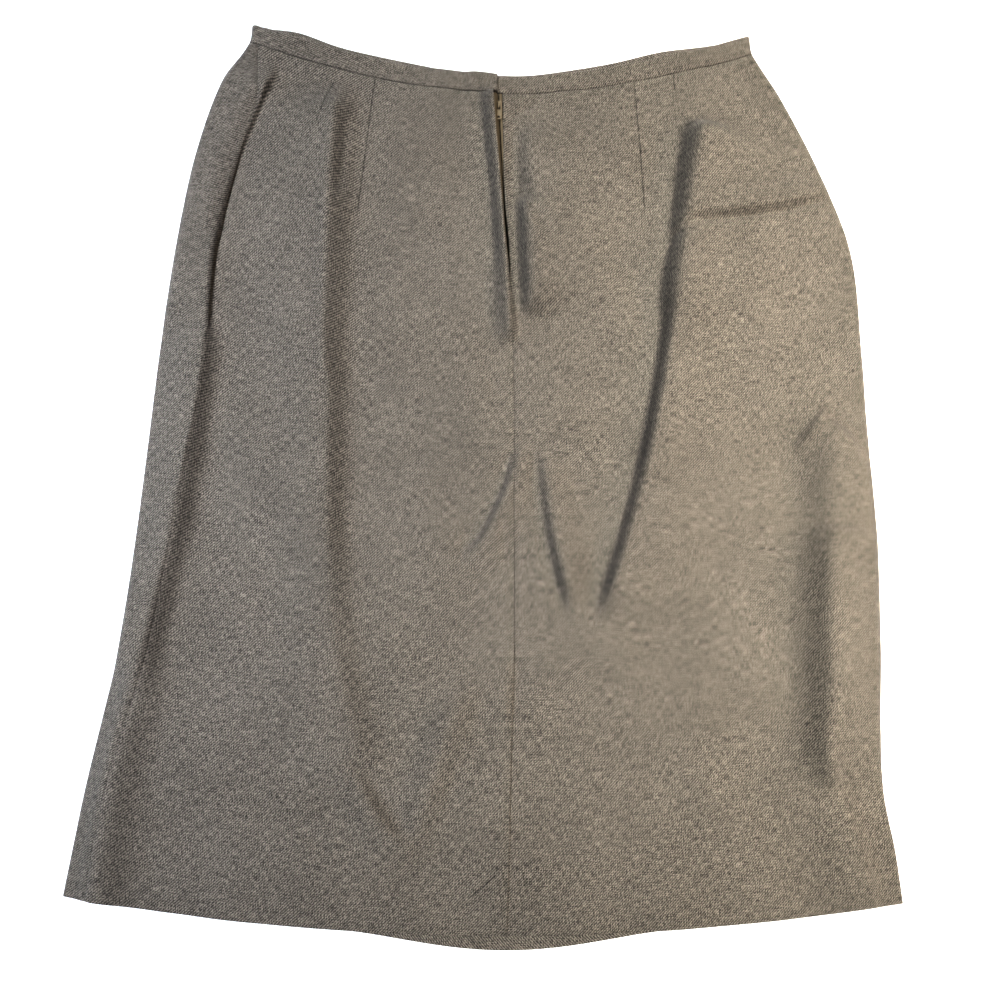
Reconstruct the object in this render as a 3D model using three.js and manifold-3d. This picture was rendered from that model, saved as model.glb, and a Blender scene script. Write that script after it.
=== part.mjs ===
// A pencil skirt laid flat on its front, back uppermost, in millimetres.
// X runs across the skirt, Y from hem to waist and Z up from the surface it lies on.
// The origin is under the middle of the skirt.
import * as THREE from 'three';
import { mergeVertices } from 'three/addons/utils/BufferGeometryUtils.js';
import Module from 'manifold-3d';

const wasm = await Module();
wasm.setup();

// Driving dimensions
const CLOTH_THICKNESS = 1.2;
const BAND_THICKNESS = 2;
const BAND_HEIGHT = 16;
const SEAM_GAP = 0.3;
const SEAM_MARGIN = 0.02;
const HALF_GAP = SEAM_GAP / 2 + SEAM_MARGIN;
const WAIST_Y = 332.25;
const WAIST_TILT = 0.025;
const HEM_TILT = 0.0085;
const WAIST_SAG_POWER = 1.6;
const HEM_SAG_POWER = 2;
const FRONT_WAIST_SAG_POWER = 1.2;
const FRONT_HEM_DROP = 10;
const FRONT_HEM_DROP_HALF_WIDTH = 120;

// Height of the upper cloth where it lies slack, and how softly a trough bottoms out
const REST_HEIGHT = 4.4;
const SLACK = 2.2;
const TROUGH_SOFTNESS = 1.6;

// Sizes of the zip opening, the vent and the waistband's lapped end
const LAP_ZONE = 14;
const ZIP_TAPE_WIDTH = 24;
const ZIP_TAPE_THICKNESS = 0.8;
const ZIP_TAPE_GAP = 0.8;
const ZIP_GAPE = 7.6;
const ZIP_GAPE_LENGTH = 105;
const ZIP_GAPE_CURVE = 0.8;
const VENT_LENGTH = 183;
const VENT_UNDERLAP = 26;
const VENT_SLOPE_LENGTH = 24;
const VENT_SINK_LEAD = 1.2;
const LAP_DROP = CLOTH_THICKNESS + 3 * SEAM_GAP;
const TAB_OVERLAP = 16;
const TAB_REACH = 3 * TAB_OVERLAP;
const TAB_RISE_LENGTH = 2 * TAB_OVERLAP;
const TAB_LIFT = 3;

// One row for each cross-section, at its distance down from the waist seam.
// left and right are the outline, sag is how far the middle hangs below the edges,
// seam is how far in from the left edge the side seam shows, centre is the centre-back
// line, and the rolls are the half-heights of the two folded edges.
const SECTIONS = [
  { down: -16, left: -186, right: 211, sag: 40, seam: 8, centre: 10, leftRoll: 3.4, rightRoll: 3.4 },
  { down: 0, left: -188, right: 213, sag: 40, seam: 8, centre: 10.5, leftRoll: 3.6, rightRoll: 3.4 },
  { down: 36, left: -208, right: 233, sag: 37, seam: 32, centre: 12, leftRoll: 5.5, rightRoll: 3.2 },
  { down: 95, left: -225, right: 259, sag: 33, seam: 36, centre: 15, leftRoll: 6.5, rightRoll: 3.2 },
  { down: 166, left: -236, right: 282, sag: 28, seam: 33, centre: 20, leftRoll: 6.5, rightRoll: 3.2 },
  { down: 256, left: -245, right: 286, sag: 23, seam: 36, centre: 22.5, leftRoll: 6.5, rightRoll: 3.2 },
  { down: 328, left: -250, right: 287, sag: 20, seam: 33, centre: 22.5, leftRoll: 6.5, rightRoll: 3.6 },
  { down: 394, left: -255, right: 289, sag: 18, seam: 29, centre: 22.5, leftRoll: 6, rightRoll: 4.5 },
  { down: 473, left: -262, right: 287, sag: 18, seam: 24, centre: 22, leftRoll: 5.5, rightRoll: 4.5 },
  { down: 529, left: -272, right: 283.5, sag: 20, seam: 20, centre: 20, leftRoll: 5, rightRoll: 4.5 },
  { down: 577, left: -281, right: 283.5, sag: 22, seam: 18, centre: 19, leftRoll: 4.5, rightRoll: 4 },
  { down: 615, left: -287, right: 289, sag: 23, seam: 18, centre: 18, leftRoll: 4, rightRoll: 3.8 },
  { down: 651.5, left: -292.5, right: 292.5, sag: 24, seam: 18, centre: 16.5, leftRoll: 3.6, rightRoll: 3.6 },
];
const HEM_DOWN = SECTIONS[SECTIONS.length - 1].down;

// One row for each large fold: it runs from (x0, y0) to (x1, y1), bowed sideways by bow,
// and rises by height, falling away over left and right on its two sides.
// A fold that runs down the skirt has its left side on the side of -X.
const FOLDS = [
  { x0: -166, y0: 306, x1: -212, y1: 92, bow: -14, height: 13, left: 60, right: 4 },
  { x0: -212, y0: 92, x1: -254, y1: -160, bow: 5, height: 16, left: 26, right: 10 },
  { x0: -254, y0: -160, x1: -272, y1: -345, bow: -5, height: 15, left: 13, right: 15 },
  { x0: -116, y0: 290, x1: -124, y1: -80, bow: -3, height: 15, left: 46, right: 8 },
  { x0: -124, y0: -80, x1: -89, y1: -238, bow: -4, height: 13, left: 38, right: 8 },
  { x0: -89, y0: -238, x1: -54, y1: -286, bow: -3, height: 6, left: 14, right: 6 },
  { x0: -5, y0: 292, x1: 8, y1: 150, bow: 0, height: -5, left: 5, right: 5 },
  { x0: 9, y0: 292, x1: 20, y1: 96, bow: 2, height: 4, left: 9, right: 6 },
  { x0: 24, y0: 235, x1: 34, y1: 112, bow: 0, height: -6, left: 5, right: 9 },
  { x0: 50, y0: 262, x1: 66, y1: 142, bow: 0, height: 8, left: 22, right: 50 },
  { x0: 18, y0: -4, x1: -16, y1: -72, bow: 3, height: -6, left: 4, right: 5 },
  { x0: 26, y0: -4, x1: -6, y1: -76, bow: 3, height: 7, left: 6, right: 14 },
  { x0: 39, y0: -8, x1: 57, y1: -112, bow: -3, height: -6, left: 5, right: 5 },
  { x0: 44, y0: -8, x1: 63, y1: -108, bow: -3, height: 9, left: 6, right: 18 },
  { x0: 161, y0: 262, x1: 133, y1: 108, bow: -2, height: -9, left: 16, right: 5 },
  { x0: 133, y0: 108, x1: 82, y1: -112, bow: 5, height: -8, left: 14, right: 5 },
  { x0: 170, y0: 262, x1: 142, y1: 108, bow: -2, height: 14, left: 8, right: 55 },
  { x0: 142, y0: 108, x1: 91, y1: -112, bow: 5, height: 14, left: 8, right: 50 },
  { x0: 108, y0: 157, x1: 170, y1: 186, bow: -3, height: -5, left: 9, right: 4 },
  { x0: 168, y0: 187, x1: 258, y1: 208, bow: -3, height: 6, left: 4, right: 18 },
  { x0: 262, y0: 22, x1: 246, y1: -222, bow: -2, height: 15, left: 22, right: 34 },
  { x0: 236, y0: -212, x1: 268, y1: -320, bow: 2, height: 9, left: 30, right: 9 },
  { x0: -12, y0: -172, x1: -48, y1: -282, bow: -4, height: 7, left: 12, right: 12 },
  { x0: 17, y0: -170, x1: 14, y1: -330, bow: 0, height: 3, left: 18, right: 22 },
];
const FOLD_END_LENGTH = 36;

// The least that a fold spreads to a side, so that the facets can follow it
const NARROWEST_FOLD = 7;

// Zip slider and its pull tab
const SLIDER_WIDTH = 5;
const SLIDER_TAIL_WIDTH = 3.6;
const SLIDER_LENGTH = 10;
const SLIDER_THICKNESS = 2;
const SLIDER_CHAMFER = 1;
const SLIDER_DOWN = 14;
const SLIDER_CLEARANCE = 0.35;
const BRIDGE_WIDTH = 1.3;
const BRIDGE_LENGTH = 5.2;
const BRIDGE_RISE = 2.9;
const BRIDGE_BAR = 0.9;
const BRIDGE_SINK = 0.5;
const PULL_WIDTH = 4.8;
const PULL_LENGTH = 13;
const PULL_THICKNESS = 0.8;
const PULL_BAR = 0.9;
const PULL_WINDOW_WIDTH = 2.7;
const PULL_WINDOW_LENGTH = 3.8;
const PULL_HOLE_RADIUS = 0.9;

// Numbers of faces, and how far the left panel's columns crowd towards the side seam
const BODY_ROWS = 28;
const BACK_COLUMNS = 24;
const WRAP_COLUMNS = 6;
const FLOOR_COLUMNS = 14;
const EDGE_STEPS = 4;
const BAND_ROWS = 2;
const LAP_COLUMNS = 4;
const ZIP_ROWS = 9;
const ZIP_COLUMNS = 6;
const LEFT_CROWDING = 1.25;

const CURVE_STEPS = 8;

// Width of a folded edge's roll over its half-height
const ROLL_FLATNESS = 1.3;

const QUARTER_TURN = Math.PI / 2;
const SMALL_STEP = 1e-3;

function material(name, color, roughness, metalness = 0) {
  const result = new THREE.MeshStandardMaterial({ color, roughness, metalness });
  result.name = name;
  return result;
}

function lerp(a, b, t) {
  return a + (b - a) * t;
}

function smoothStep(t) {
  const c = Math.min(1, Math.max(0, t));
  return c * c * (3 - 2 * c);
}

// A column of the section table at a distance down, on a smooth cubic through its rows
function sectionValue(column, down) {
  const last = SECTIONS.length - 1;
  let i = 0;
  while (i < last - 1 && SECTIONS[i + 1].down < down) {
    i += 1;
  }
  const slope = (k) => {
    const a = SECTIONS[Math.max(0, k - 1)];
    const b = SECTIONS[Math.min(last, k + 1)];
    return (b[column] - a[column]) / (b.down - a.down);
  };
  const from = SECTIONS[i];
  const to = SECTIONS[i + 1];
  const span = to.down - from.down;
  const t = Math.min(1, Math.max(0, (down - from.down) / span));
  const t2 = t * t;
  const t3 = t2 * t;
  return (
    (2 * t3 - 3 * t2 + 1) * from[column] +
    (t3 - 2 * t2 + t) * span * slope(i) +
    (3 * t2 - 2 * t3) * to[column] +
    (t3 - t2) * span * slope(i + 1)
  );
}

// Height that one fold adds: a bump across its arc, fading in and out around its two ends,
// so that two folds which meet end to end make one
function foldHeight(fold, x, y) {
  const dx = fold.x1 - fold.x0;
  const dy = fold.y1 - fold.y0;
  const length = Math.hypot(dx, dy);
  const along = ((x - fold.x0) * dx + (y - fold.y0) * dy) / length;
  const side = (-(x - fold.x0) * dy + (y - fold.y0) * dx) / length;
  const s = Math.min(1, Math.max(0, along / length));
  const across = side - fold.bow * 4 * s * (1 - s);
  const width = Math.max(NARROWEST_FOLD, across < 0 ? fold.left : fold.right);
  const start = smoothStep(0.5 + along / FOLD_END_LENGTH);
  const end = smoothStep(0.5 + (length - along) / FOLD_END_LENGTH);
  return fold.height * Math.exp(-((across / width) ** 2)) * start * end;
}

// Height of the upper cloth's outer face, away from the rolled edges
function clothHeight(x, y) {
  let height = SLACK;
  for (const fold of FOLDS) {
    height += foldHeight(fold, x, y);
  }
  return REST_HEIGHT + (height + Math.hypot(height, TROUGH_SOFTNESS)) / 2;
}

function sagShape(x, left, right, power) {
  const across = Math.abs((2 * (x - left)) / (right - left) - 1);
  return 1 - across ** power;
}

function rowY(down, x, front) {
  const left = sectionValue('left', down);
  const right = sectionValue('right', down);
  const toHem = Math.max(0, down) / HEM_DOWN;
  const tilt = lerp(WAIST_TILT, HEM_TILT, toHem);
  const waistPower = front ? FRONT_WAIST_SAG_POWER : WAIST_SAG_POWER;
  const power = lerp(waistPower, HEM_SAG_POWER, smoothStep(toHem * 2));
  let y = WAIST_Y - down - tilt * x - sectionValue('sag', down) * sagShape(x, left, right, power);
  if (front) {
    const t = Math.min(1, Math.abs(x - sectionValue('centre', down)) / FRONT_HEM_DROP_HALF_WIDTH);
    y -= FRONT_HEM_DROP * smoothStep(toHem * 2 - 1) * (1 - t * t) ** 2;
  }
  return y;
}

// A point of the upper cloth at a distance down, at x, lowered by drop
function upperPoint(down, x, drop = 0) {
  const left = sectionValue('left', down);
  const right = sectionValue('right', down);
  const y = rowY(down, x, false);
  const nearLeft = x - left < right - x;
  const half = sectionValue(nearLeft ? 'leftRoll' : 'rightRoll', down);
  const radius = half * ROLL_FLATNESS;
  const inset = Math.min(radius, nearLeft ? x - left : right - x);
  const rise = Math.sqrt(1 - (1 - inset / radius) ** 2);
  const z = half + (clothHeight(x, y) - half) * rise;
  return new THREE.Vector3(x, y, z - drop);
}

// A point of the rolled edge, from the floor (angle -90 degrees) to half-height (0)
function rollPoint(down, side, angle) {
  const half = sectionValue(`${side}Roll`, down);
  const radius = half * ROLL_FLATNESS;
  const inward = side === 'left' ? 1 : -1;
  const x = sectionValue(side, down) + inward * radius * (1 - Math.cos(angle));
  return new THREE.Vector3(x, rowY(down, x, true), half * (1 + Math.sin(angle)));
}

// x of the upper cloth's rolled edge, at an angle up from half-height
function rollX(down, side, angle) {
  const radius = sectionValue(`${side}Roll`, down) * ROLL_FLATNESS;
  const inward = side === 'left' ? 1 : -1;
  return sectionValue(side, down) + inward * radius * (1 - Math.cos(angle));
}

// A point of the upper cloth's rolled edge, from half-height (angle 0) to its top
function edgePoint(down, side, angle) {
  const half = sectionValue(`${side}Roll`, down);
  const x = rollX(down, side, angle);
  const y = rowY(down, x, false);
  return new THREE.Vector3(x, y, half + (clothHeight(x, y) - half) * Math.sin(angle));
}

// A closed wall: the outer face is a grid of points, and the inner face lies inside it
// by the thickness, along the surface's own normals.
function wall(outer, thickness) {
  const rows = outer.length;
  const columns = outer[0].length;
  const vertices = outer.flat();
  const points = vertices.map((vertex) => vertex.point);
  points.push(...vertices.map((vertex) => vertex.point.clone().addScaledVector(vertex.normal, -thickness)));
  const faces = [];
  const quad = (a, b, c, d) => faces.push(a, b, c, a, c, d);
  const at = (i, j, inner = 0) => inner * rows * columns + i * columns + j;
  for (let i = 0; i + 1 < rows; i += 1) {
    for (let j = 0; j + 1 < columns; j += 1) {
      quad(at(i, j), at(i + 1, j), at(i + 1, j + 1), at(i, j + 1));
      quad(at(i, j, 1), at(i, j + 1, 1), at(i + 1, j + 1, 1), at(i + 1, j, 1));
    }
    const end = columns - 1;
    quad(at(i, 0), at(i, 0, 1), at(i + 1, 0, 1), at(i + 1, 0));
    quad(at(i, end), at(i + 1, end), at(i + 1, end, 1), at(i, end, 1));
  }
  for (let j = 0; j + 1 < columns; j += 1) {
    const end = rows - 1;
    quad(at(0, j), at(0, j + 1), at(0, j + 1, 1), at(0, j, 1));
    quad(at(end, j), at(end, j, 1), at(end, j + 1, 1), at(end, j + 1));
  }
  const geometry = new THREE.BufferGeometry();
  geometry.setFromPoints(points);
  geometry.setIndex(faces);
  geometry.computeVertexNormals();
  return geometry;
}

// Points along one stretch of a section, each with the direction that the stretch takes there
function stretch(count, pointAt) {
  const result = [];
  for (let k = 0; k <= count; k += 1) {
    const t = k / count;
    const across = pointAt(t + SMALL_STEP).sub(pointAt(t - SMALL_STEP));
    result.push({ point: pointAt(t), across });
  }
  return result;
}

// Stretches joined end to end, each without the point that it shares with the one before
function joined(first, ...others) {
  return [...first, ...others.flatMap((other) => other.slice(1))];
}

// Rows of vertices down the skirt, from sections that run from left to right over the top
function grid(rows, fromDown, toDown, sectionAt) {
  const result = [];
  for (let i = 0; i <= rows; i += 1) {
    const down = lerp(fromDown, toDown, i / rows);
    const above = sectionAt(down - 1);
    const below = sectionAt(down + 1);
    const row = sectionAt(down).map(({ point, across }, j) => {
      const along = below[j].point.clone().sub(above[j].point);
      return { point, normal: along.cross(across).normalize() };
    });
    result.push(row);
  }
  return result;
}

// The tube's floor half: from half-height at the right edge, over the floor, to half-height
// at the left edge
function floorHalf(down) {
  const floorStart = rollX(down, 'right', QUARTER_TURN);
  const floorEnd = rollX(down, 'left', QUARTER_TURN);
  const lower = stretch(EDGE_STEPS, (t) => rollPoint(down, 'right', -t * QUARTER_TURN));
  const floor = stretch(FLOOR_COLUMNS, (t) => {
    const x = lerp(floorStart, floorEnd, t);
    return new THREE.Vector3(x, rowY(down, x, true), 0);
  });
  const rise = stretch(EDGE_STEPS, (t) => rollPoint(down, 'left', (t - 1) * QUARTER_TURN));
  return joined(lower, floor, rise);
}

// The upper cloth from half-height at the left edge to where the edge has rolled over
function leftRollOver(down) {
  return stretch(EDGE_STEPS, (t) => edgePoint(down, 'left', t * QUARTER_TURN));
}

// The upper cloth from where it starts to roll over to half-height at the right edge
function rightRollOver(down) {
  return stretch(EDGE_STEPS, (t) => edgePoint(down, 'right', (1 - t) * QUARTER_TURN));
}

// The upper cloth between two places across the skirt, with its columns crowded at the start
function upperStretch(down, columns, fromX, toX, crowding = 1, dropAt = () => 0) {
  return stretch(columns, (t) => {
    const x = lerp(fromX, toX, Math.sign(t) * Math.abs(t) ** crowding);
    return upperPoint(down, x, dropAt(x));
  });
}

function leftSeamX(down) {
  return sectionValue('left', down) + sectionValue('seam', down);
}

// How far the right back panel's edge stands off the centre line, at the open zip top
function zipGape(down) {
  const t = Math.min(1, Math.max(0, down) / ZIP_GAPE_LENGTH);
  return ZIP_GAPE * (1 - t) ** ZIP_GAPE_CURVE;
}

// How far the right back panel runs on under the left one, below the head of the vent
function ventUnderlap(down) {
  return VENT_UNDERLAP * smoothStep((down - (HEM_DOWN - VENT_LENGTH)) / VENT_SLOPE_LENGTH);
}

// How far the right back panel has sunk under the left one's level, from 0 to 1
function ventSink(down) {
  return smoothStep((down - (HEM_DOWN - VENT_LENGTH)) / VENT_SLOPE_LENGTH + VENT_SINK_LEAD);
}

function frontPanel() {
  const outer = grid(BODY_ROWS, HALF_GAP, HEM_DOWN, (down) => {
    const rollEnd = rollX(down, 'left', QUARTER_TURN);
    const wrap = upperStretch(down, WRAP_COLUMNS, rollEnd, leftSeamX(down) - HALF_GAP);
    const section = joined(floorHalf(down), leftRollOver(down), wrap);
    section[0].point.z -= HALF_GAP;
    return section;
  });
  return wall(outer, CLOTH_THICKNESS);
}

function backLeftPanel() {
  const outer = grid(BODY_ROWS, HALF_GAP, HEM_DOWN, (down) => {
    const centre = sectionValue('centre', down);
    const start = leftSeamX(down) + HALF_GAP;
    const end = centre - zipGape(down) / 2 - HALF_GAP;
    const body = upperStretch(down, BACK_COLUMNS, start, centre - LAP_ZONE, LEFT_CROWDING);
    return joined(body, upperStretch(down, LAP_COLUMNS, centre - LAP_ZONE, end));
  });
  return wall(outer, CLOTH_THICKNESS);
}

function backRightPanel() {
  const outer = grid(BODY_ROWS, HALF_GAP, HEM_DOWN, (down) => {
    const centre = sectionValue('centre', down);
    const underlap = ventUnderlap(down);
    const start = centre + zipGape(down) / 2 + HALF_GAP - underlap;
    const end = rollX(down, 'right', QUARTER_TURN);
    const dropAt = (x) => {
      const underLeft = 1 - smoothStep((x - centre - SEAM_GAP) / VENT_UNDERLAP);
      return LAP_DROP * underLeft * ventSink(down);
    };
    const lap = upperStretch(down, LAP_COLUMNS, start, centre + LAP_ZONE, 1, dropAt);
    const body = upperStretch(down, BACK_COLUMNS, centre + LAP_ZONE, end, 1, dropAt);
    const section = joined(lap, body, rightRollOver(down));
    section[section.length - 1].point.z += HALF_GAP;
    return section;
  });
  return wall(outer, CLOTH_THICKNESS);
}

// The waistband is one strip: from its end under the tab it runs right over the top, round
// the waist along the floor, and back over the top at the left to its tab at centre back.
function waistband() {
  const outer = grid(BAND_ROWS, -BAND_HEIGHT, -HALF_GAP, (down) => {
    const centre = sectionValue('centre', down);
    const rightEnd = rollX(down, 'right', QUARTER_TURN);
    const leftEnd = rollX(down, 'left', QUARTER_TURN);
    const right = upperStretch(down, BACK_COLUMNS, centre - TAB_OVERLAP, rightEnd);
    const lift = (x) => -TAB_LIFT * smoothStep((TAB_REACH - (centre - x)) / TAB_RISE_LENGTH);
    const left = upperStretch(down, BACK_COLUMNS, leftEnd, centre, 1, lift);
    return joined(right, rightRollOver(down), floorHalf(down), leftRollOver(down), left);
  });
  return wall(outer, BAND_THICKNESS);
}

// The closed zip's two tapes and chain, as one strip under both back panels
function zipTape() {
  const under = CLOTH_THICKNESS + ZIP_TAPE_GAP;
  const rowHeight = (HEM_DOWN - HALF_GAP) / BODY_ROWS;
  const outer = grid(ZIP_ROWS, HALF_GAP, HALF_GAP + ZIP_ROWS * rowHeight, (down) => {
    const left = sectionValue('centre', down) - ZIP_TAPE_WIDTH / 2;
    return upperStretch(down, ZIP_COLUMNS, left, left + ZIP_TAPE_WIDTH, 1, () => under);
  });
  return wall(outer, ZIP_TAPE_THICKNESS);
}

// A solid for cutting and joining, from a closed geometry
function solid(geometry) {
  const bare = new THREE.BufferGeometry();
  bare.setAttribute('position', geometry.getAttribute('position').clone());
  if (geometry.index) {
    bare.setIndex(geometry.index.clone());
  }
  const merged = mergeVertices(bare);
  return new wasm.Manifold(
    new wasm.Mesh({
      numProp: 3,
      vertProperties: new Float32Array(merged.getAttribute('position').array),
      triVerts: new Uint32Array(merged.index.array),
    }),
  );
}

function solidGeometry(source) {
  const mesh = source.getMesh();
  const geometry = new THREE.BufferGeometry();
  geometry.setAttribute('position', new THREE.BufferAttribute(new Float32Array(mesh.vertProperties), 3));
  geometry.setIndex(new THREE.BufferAttribute(new Uint32Array(mesh.triVerts), 1));
  geometry.computeVertexNormals();
  return geometry;
}

function outline(points) {
  return new THREE.Shape(points.map(([x, y]) => new THREE.Vector2(x, y)));
}

function extruded(shape, depth) {
  return new THREE.ExtrudeGeometry(shape, { depth, bevelEnabled: false, curveSegments: CURVE_STEPS });
}

// The slider, with Y along the zip and Z up from its underside: a plate that narrows
// towards the closed chain, and an arch over the pull tab's bar.
function zipSlider() {
  const nose = SLIDER_LENGTH / 2;
  const shoulder = SLIDER_WIDTH / 2;
  const tail = SLIDER_TAIL_WIDTH / 2;
  const plate = extruded(
    outline([
      [-tail, -nose],
      [tail, -nose],
      [shoulder, 0],
      [shoulder, nose - SLIDER_CHAMFER],
      [shoulder - SLIDER_CHAMFER, nose],
      [SLIDER_CHAMFER - shoulder, nose],
      [-shoulder, nose - SLIDER_CHAMFER],
      [-shoulder, 0],
    ]),
    SLIDER_THICKNESS,
  );
  const foot = BRIDGE_LENGTH / 2;
  const arch = extruded(
    outline([
      [-foot, -BRIDGE_SINK],
      [foot, -BRIDGE_SINK],
      [foot, BRIDGE_RISE - BRIDGE_BAR],
      [foot - BRIDGE_BAR, BRIDGE_RISE],
      [BRIDGE_BAR - foot, BRIDGE_RISE],
      [-foot, BRIDGE_RISE - BRIDGE_BAR],
    ]),
    BRIDGE_WIDTH,
  );
  const inside = foot - BRIDGE_BAR;
  const window = extruded(
    outline([
      [-inside, 0],
      [inside, 0],
      [inside, BRIDGE_RISE - BRIDGE_BAR],
      [-inside, BRIDGE_RISE - BRIDGE_BAR],
    ]),
    BRIDGE_WIDTH * 2,
  );
  const upright = new THREE.Matrix4().makeBasis(
    new THREE.Vector3(0, 1, 0),
    new THREE.Vector3(0, 0, 1),
    new THREE.Vector3(1, 0, 0),
  );
  arch.applyMatrix4(upright).translate(-BRIDGE_WIDTH / 2, 0, SLIDER_THICKNESS);
  window.applyMatrix4(upright).translate(-BRIDGE_WIDTH, 0, SLIDER_THICKNESS);
  return solidGeometry(solid(plate).add(solid(arch).subtract(solid(window))));
}

// The pull tab lying down towards the hem, with its hinge axis at the origin: a round-ended
// plate with a window that the slider's arch passes through, and a small hole at its end.
function pullTab() {
  const half = PULL_WIDTH / 2;
  const roundCentre = PULL_BAR / 2 - PULL_LENGTH + half;
  const shape = new THREE.Shape();
  shape.moveTo(half, PULL_BAR / 2);
  shape.lineTo(-half, PULL_BAR / 2);
  shape.lineTo(-half, roundCentre);
  shape.absarc(0, roundCentre, half, Math.PI, 2 * Math.PI, false);
  shape.closePath();
  const windowTop = -PULL_BAR / 2;
  const windowHalf = PULL_WINDOW_WIDTH / 2;
  shape.holes.push(
    outline([
      [-windowHalf, windowTop],
      [windowHalf, windowTop],
      [windowHalf, windowTop - PULL_WINDOW_LENGTH],
      [-windowHalf, windowTop - PULL_WINDOW_LENGTH],
    ]),
  );
  const hole = new THREE.Path();
  hole.absarc(0, roundCentre, PULL_HOLE_RADIUS, 0, 2 * Math.PI, true);
  shape.holes.push(hole);
  return extruded(shape, PULL_THICKNESS).translate(0, 0, -PULL_THICKNESS / 2);
}

// Where the slider sits on the tape, tilted to the tape's slope along the zip
function sliderPlace() {
  const topAt = (down) => {
    return upperPoint(down, sectionValue('centre', down), CLOTH_THICKNESS + ZIP_TAPE_GAP);
  };
  const middle = topAt(SLIDER_DOWN);
  const uphill = topAt(SLIDER_DOWN - SLIDER_LENGTH / 2).sub(topAt(SLIDER_DOWN + SLIDER_LENGTH / 2));
  const place = new THREE.Group();
  place.position.set(middle.x, middle.y, middle.z + SLIDER_CLEARANCE);
  place.rotation.x = Math.atan2(uphill.z, uphill.y);
  return place;
}

const wool = material('wool_twill', 0x877e71, 0.92);
const tapeCloth = material('zip_tape', 0x9a8f7b, 0.85);
const zipMetal = material('painted_zinc', 0xa39a88, 0.45, 0.3);

function named(name, geometry, finish) {
  const mesh = new THREE.Mesh(geometry, finish);
  mesh.name = name;
  return mesh;
}

const skirt = new THREE.Group();
skirt.add(named('front_panel', frontPanel(), wool));
skirt.add(named('back_left_panel', backLeftPanel(), wool));
skirt.add(named('back_right_panel', backRightPanel(), wool));
skirt.add(named('waistband', waistband(), wool));
skirt.add(named('zip_tape', zipTape(), tapeCloth));

const slider = sliderPlace();
const pull = named('zip_pull_tab', pullTab(), zipMetal);
pull.position.z = SLIDER_THICKNESS + (BRIDGE_RISE - BRIDGE_BAR) / 2;
slider.add(named('zip_slider', zipSlider(), zipMetal), pull);
skirt.add(slider);

export default skirt;
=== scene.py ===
"""Dresses a pencil skirt that lies flat on its front, with its back uppermost.

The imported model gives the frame. The cloth panels, waistband and zip tapes are rebuilt here
as finer surfaces on the same form, with their weave and seams, and a studio lights them."""
import math

import bpy
import numpy as np
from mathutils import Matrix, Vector


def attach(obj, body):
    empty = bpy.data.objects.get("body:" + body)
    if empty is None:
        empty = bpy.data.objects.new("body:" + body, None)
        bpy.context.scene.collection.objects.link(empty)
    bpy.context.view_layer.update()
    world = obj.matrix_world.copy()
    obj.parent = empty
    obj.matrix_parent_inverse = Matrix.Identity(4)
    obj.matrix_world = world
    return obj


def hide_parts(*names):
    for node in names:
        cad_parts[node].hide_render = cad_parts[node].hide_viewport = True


bl_info = {
    "name": "Pencil Skirt",
    "version": (1, 0, 0),
    "blender": (4, 5, 0),
    "location": "3D View > Sidebar > Skirt",
    "description": "Builds a pencil skirt laid flat, its zip and a studio to show it in",
    "category": "Object",
}

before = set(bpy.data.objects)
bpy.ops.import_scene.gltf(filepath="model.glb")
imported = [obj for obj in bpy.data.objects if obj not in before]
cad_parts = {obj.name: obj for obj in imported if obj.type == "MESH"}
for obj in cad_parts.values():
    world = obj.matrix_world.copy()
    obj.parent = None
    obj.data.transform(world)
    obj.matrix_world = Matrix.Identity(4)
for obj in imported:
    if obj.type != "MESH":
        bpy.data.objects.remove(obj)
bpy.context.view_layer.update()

MM = 0.001

# Sizes of the skirt in mm, most of which the solids share
CLOTH = 1.2
BAND = 2.0
BAND_HEIGHT = 16.0
SEAM_GAP = 0.3
HALF_GAP = 0.17
CLOSED_HALF_GAP = 0.05
WAIST_Y = 332.25
WAIST_TILT = 0.025
HEM_TILT = 0.0085
WAIST_SAG_POWER = 1.6
HEM_SAG_POWER = 2.0
FRONT_WAIST_SAG_POWER = 1.2
FRONT_HEM_DROP = 10.0
FRONT_HEM_DROP_HALF_WIDTH = 120.0
REST_HEIGHT = 4.4
SLACK = 2.2
TROUGH_SOFTNESS = 1.6
LAP_ZONE = 14.0
ZIP_TAPE_WIDTH = 24.0
ZIP_TAPE_GAP = 0.8
ZIP_GAPE = 7.6
ZIP_GAPE_LENGTH = 105.0
ZIP_GAPE_CURVE = 0.8
LOW_GAPE = 3.0
LOW_GAPE_DOWN = 128.0
LOW_GAPE_LENGTH = 36.0
LOW_GAPE_DEPTH = 6.0
ZIP_LENGTH = 209.0
ZIP_TAPE = 0.6
VENT_LENGTH = 183.0
VENT_UNDERLAP = 26.0
VENT_SLOPE_LENGTH = 24.0
VENT_SINK_LEAD = 1.2
LAP_DROP = 2.1
TAB_OVERLAP = 16.0
TAB_REACH = 1.75 * TAB_OVERLAP
TAB_RISE_LENGTH = 0.75 * TAB_OVERLAP
TAB_LIFT = 3.0
FLAP_LIFT_LENGTH = 30.0
ROLL_FLATNESS = 1.3
FOLD_FADE = 36.0
CREASE_FADE = 14.0
QUARTER_TURN = math.pi / 2

# Where the front's waist edge shows above the back's: x, height and half-width in mm, and
# how far down the panel this reaches
FRONT_PEEKS = ((-150.0, 5.0, 24.0), (140.0, 3.0, 28.0))
PEEK_LENGTH = 60.0

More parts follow.
